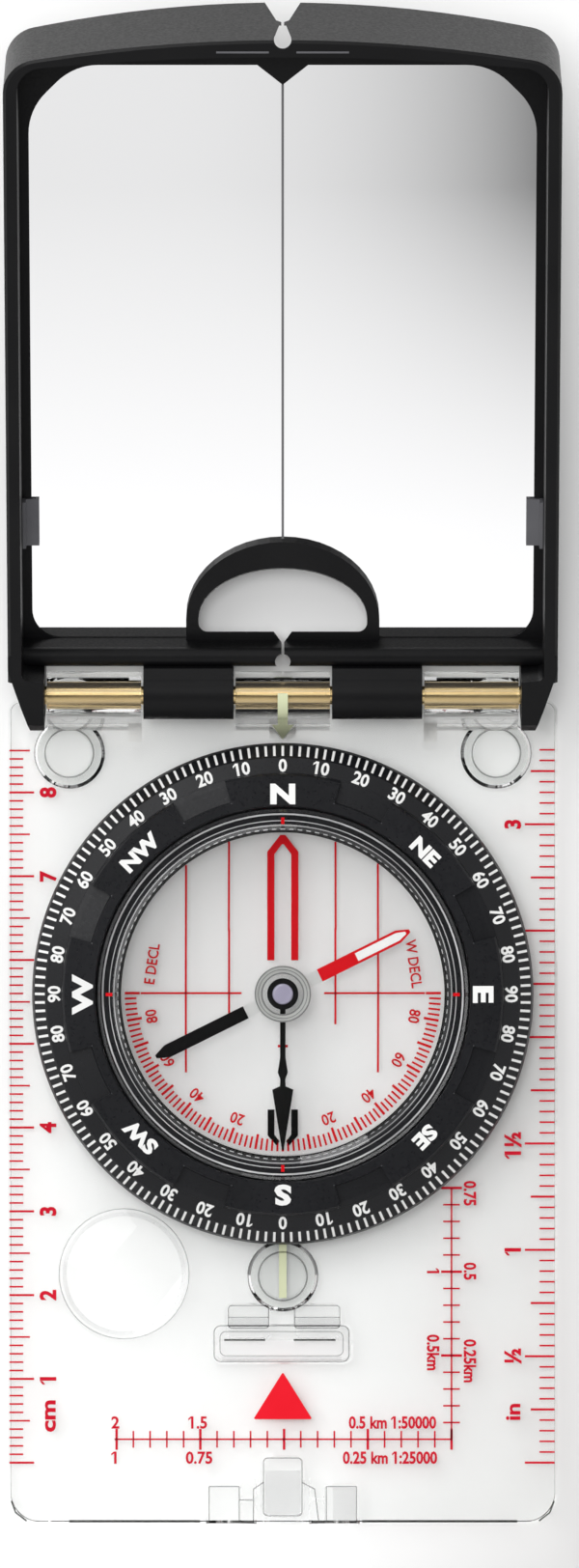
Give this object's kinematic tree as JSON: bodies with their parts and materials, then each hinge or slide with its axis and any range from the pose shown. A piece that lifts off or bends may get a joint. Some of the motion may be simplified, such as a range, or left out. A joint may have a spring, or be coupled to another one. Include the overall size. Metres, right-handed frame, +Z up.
{
  "type": "sighting compass",
  "caption": "Sighting compass: clear base plate with ruler scales, rotating black bezel with liquid capsule and needle, and a hinged mirror lid with sighting notch and window.",
  "frame": {"origin": "the middle of the opened compass's footprint, on the table plane, which is the underside of the feet; the bezel's turning axis is 26.5 mm from it towards -Y", "axes": "+X to the right, +Y from the bezel towards the hinge and the opened lid, +Z up; the lid is stored 18 degrees short of lying flat open"},
  "size_m": [0.0656, 0.1798, 0.0394],
  "materials": {
    "clear_acrylic": "polished clear moulding with red printed scales",
    "black_plastic": "satin black moulding",
    "bezel_black": "satin black with white engraved marks",
    "mirror": "silvered flat mirror with one sighting line",
    "grey_clip": "satin grey",
    "brass": "bright drawn brass",
    "lume": "pale yellow-green luminous insert",
    "silicone": "clear soft silicone",
    "white_nylon": "white nylon",
    "clear_capsule": "polished clear capsule with red dial print",
    "seal_rubber": "black rubber",
    "steel": "turned steel",
    "needle_paint": "north half red, south half black, clear lacquer",
    "jewel": "polished synthetic sapphire",
    "pointer_black": "matt black",
    "screw_dark": "blackened turned steel"
  },
  "bodies": {
    "base": {"baseplate": "clear_acrylic", "hinge_pin": "brass", "front_index_lume": "lume", "rear_index_lume": "lume", "foot_left": "silicone", "foot_right": "silicone", "foot_rear": "silicone", "bezel_glide_ring": "white_nylon"},
    "lid": {"lid_frame": "black_plastic", "mirror": "mirror", "mirror_clip_left": "grey_clip", "mirror_clip_right": "grey_clip"},
    "bezel": {"bezel_ring": "bezel_black", "bezel_retainer": "bezel_black"},
    "capsule": {"capsule_cup": "clear_capsule", "capsule_cover": "clear_capsule", "capsule_gear_ring": "bezel_black", "capsule_seal": "seal_rubber", "filler_plug": "clear_capsule", "pivot_pin": "steel"},
    "adjuster": {"declination_screw": "screw_dark"},
    "needle": {"needle_blade": "needle_paint", "magnet_ring": "steel", "needle_hub": "pointer_black", "jewel_bearing": "jewel"},
    "clinometer": {"clinometer_pointer": "pointer_black"}
  },
  "joints": [
    {"name": "lid_hinge", "type": "hinge", "parent": "base", "child": "lid", "pos_m": [0, 0.009, 0.009], "axis": [1, 0, 0], "range_deg": [-18, 162]},
    {"name": "bezel_turn", "type": "hinge", "parent": "base", "child": "bezel", "pos_m": [0, -0.0265, 0], "axis": [0, 0, 1], "continuous": true},
    {"name": "declination_adjust", "type": "hinge", "parent": "bezel", "child": "capsule", "pos_m": [0, -0.0265, 0], "axis": [0, 0, 1], "range_deg": [-30, 30]},
    {"name": "declination_screw_turn", "type": "hinge", "parent": "bezel", "child": "adjuster", "pos_m": [0, -0.0495, 0], "axis": [0, 0, 1], "range_deg": [-320, 320]},
    {"name": "needle_swing", "type": "hinge", "parent": "capsule", "child": "needle", "pos_m": [0, -0.0265, 0], "axis": [0, 0, 1], "continuous": true},
    {"name": "clinometer_swing", "type": "hinge", "parent": "capsule", "child": "clinometer", "pos_m": [0, -0.0265, 0], "axis": [0, 0, 1], "continuous": true}
  ],
  "couplings": [
    {"joint": "declination_screw_turn", "follows": "declination_adjust", "ratio": -10.5}
  ]
}
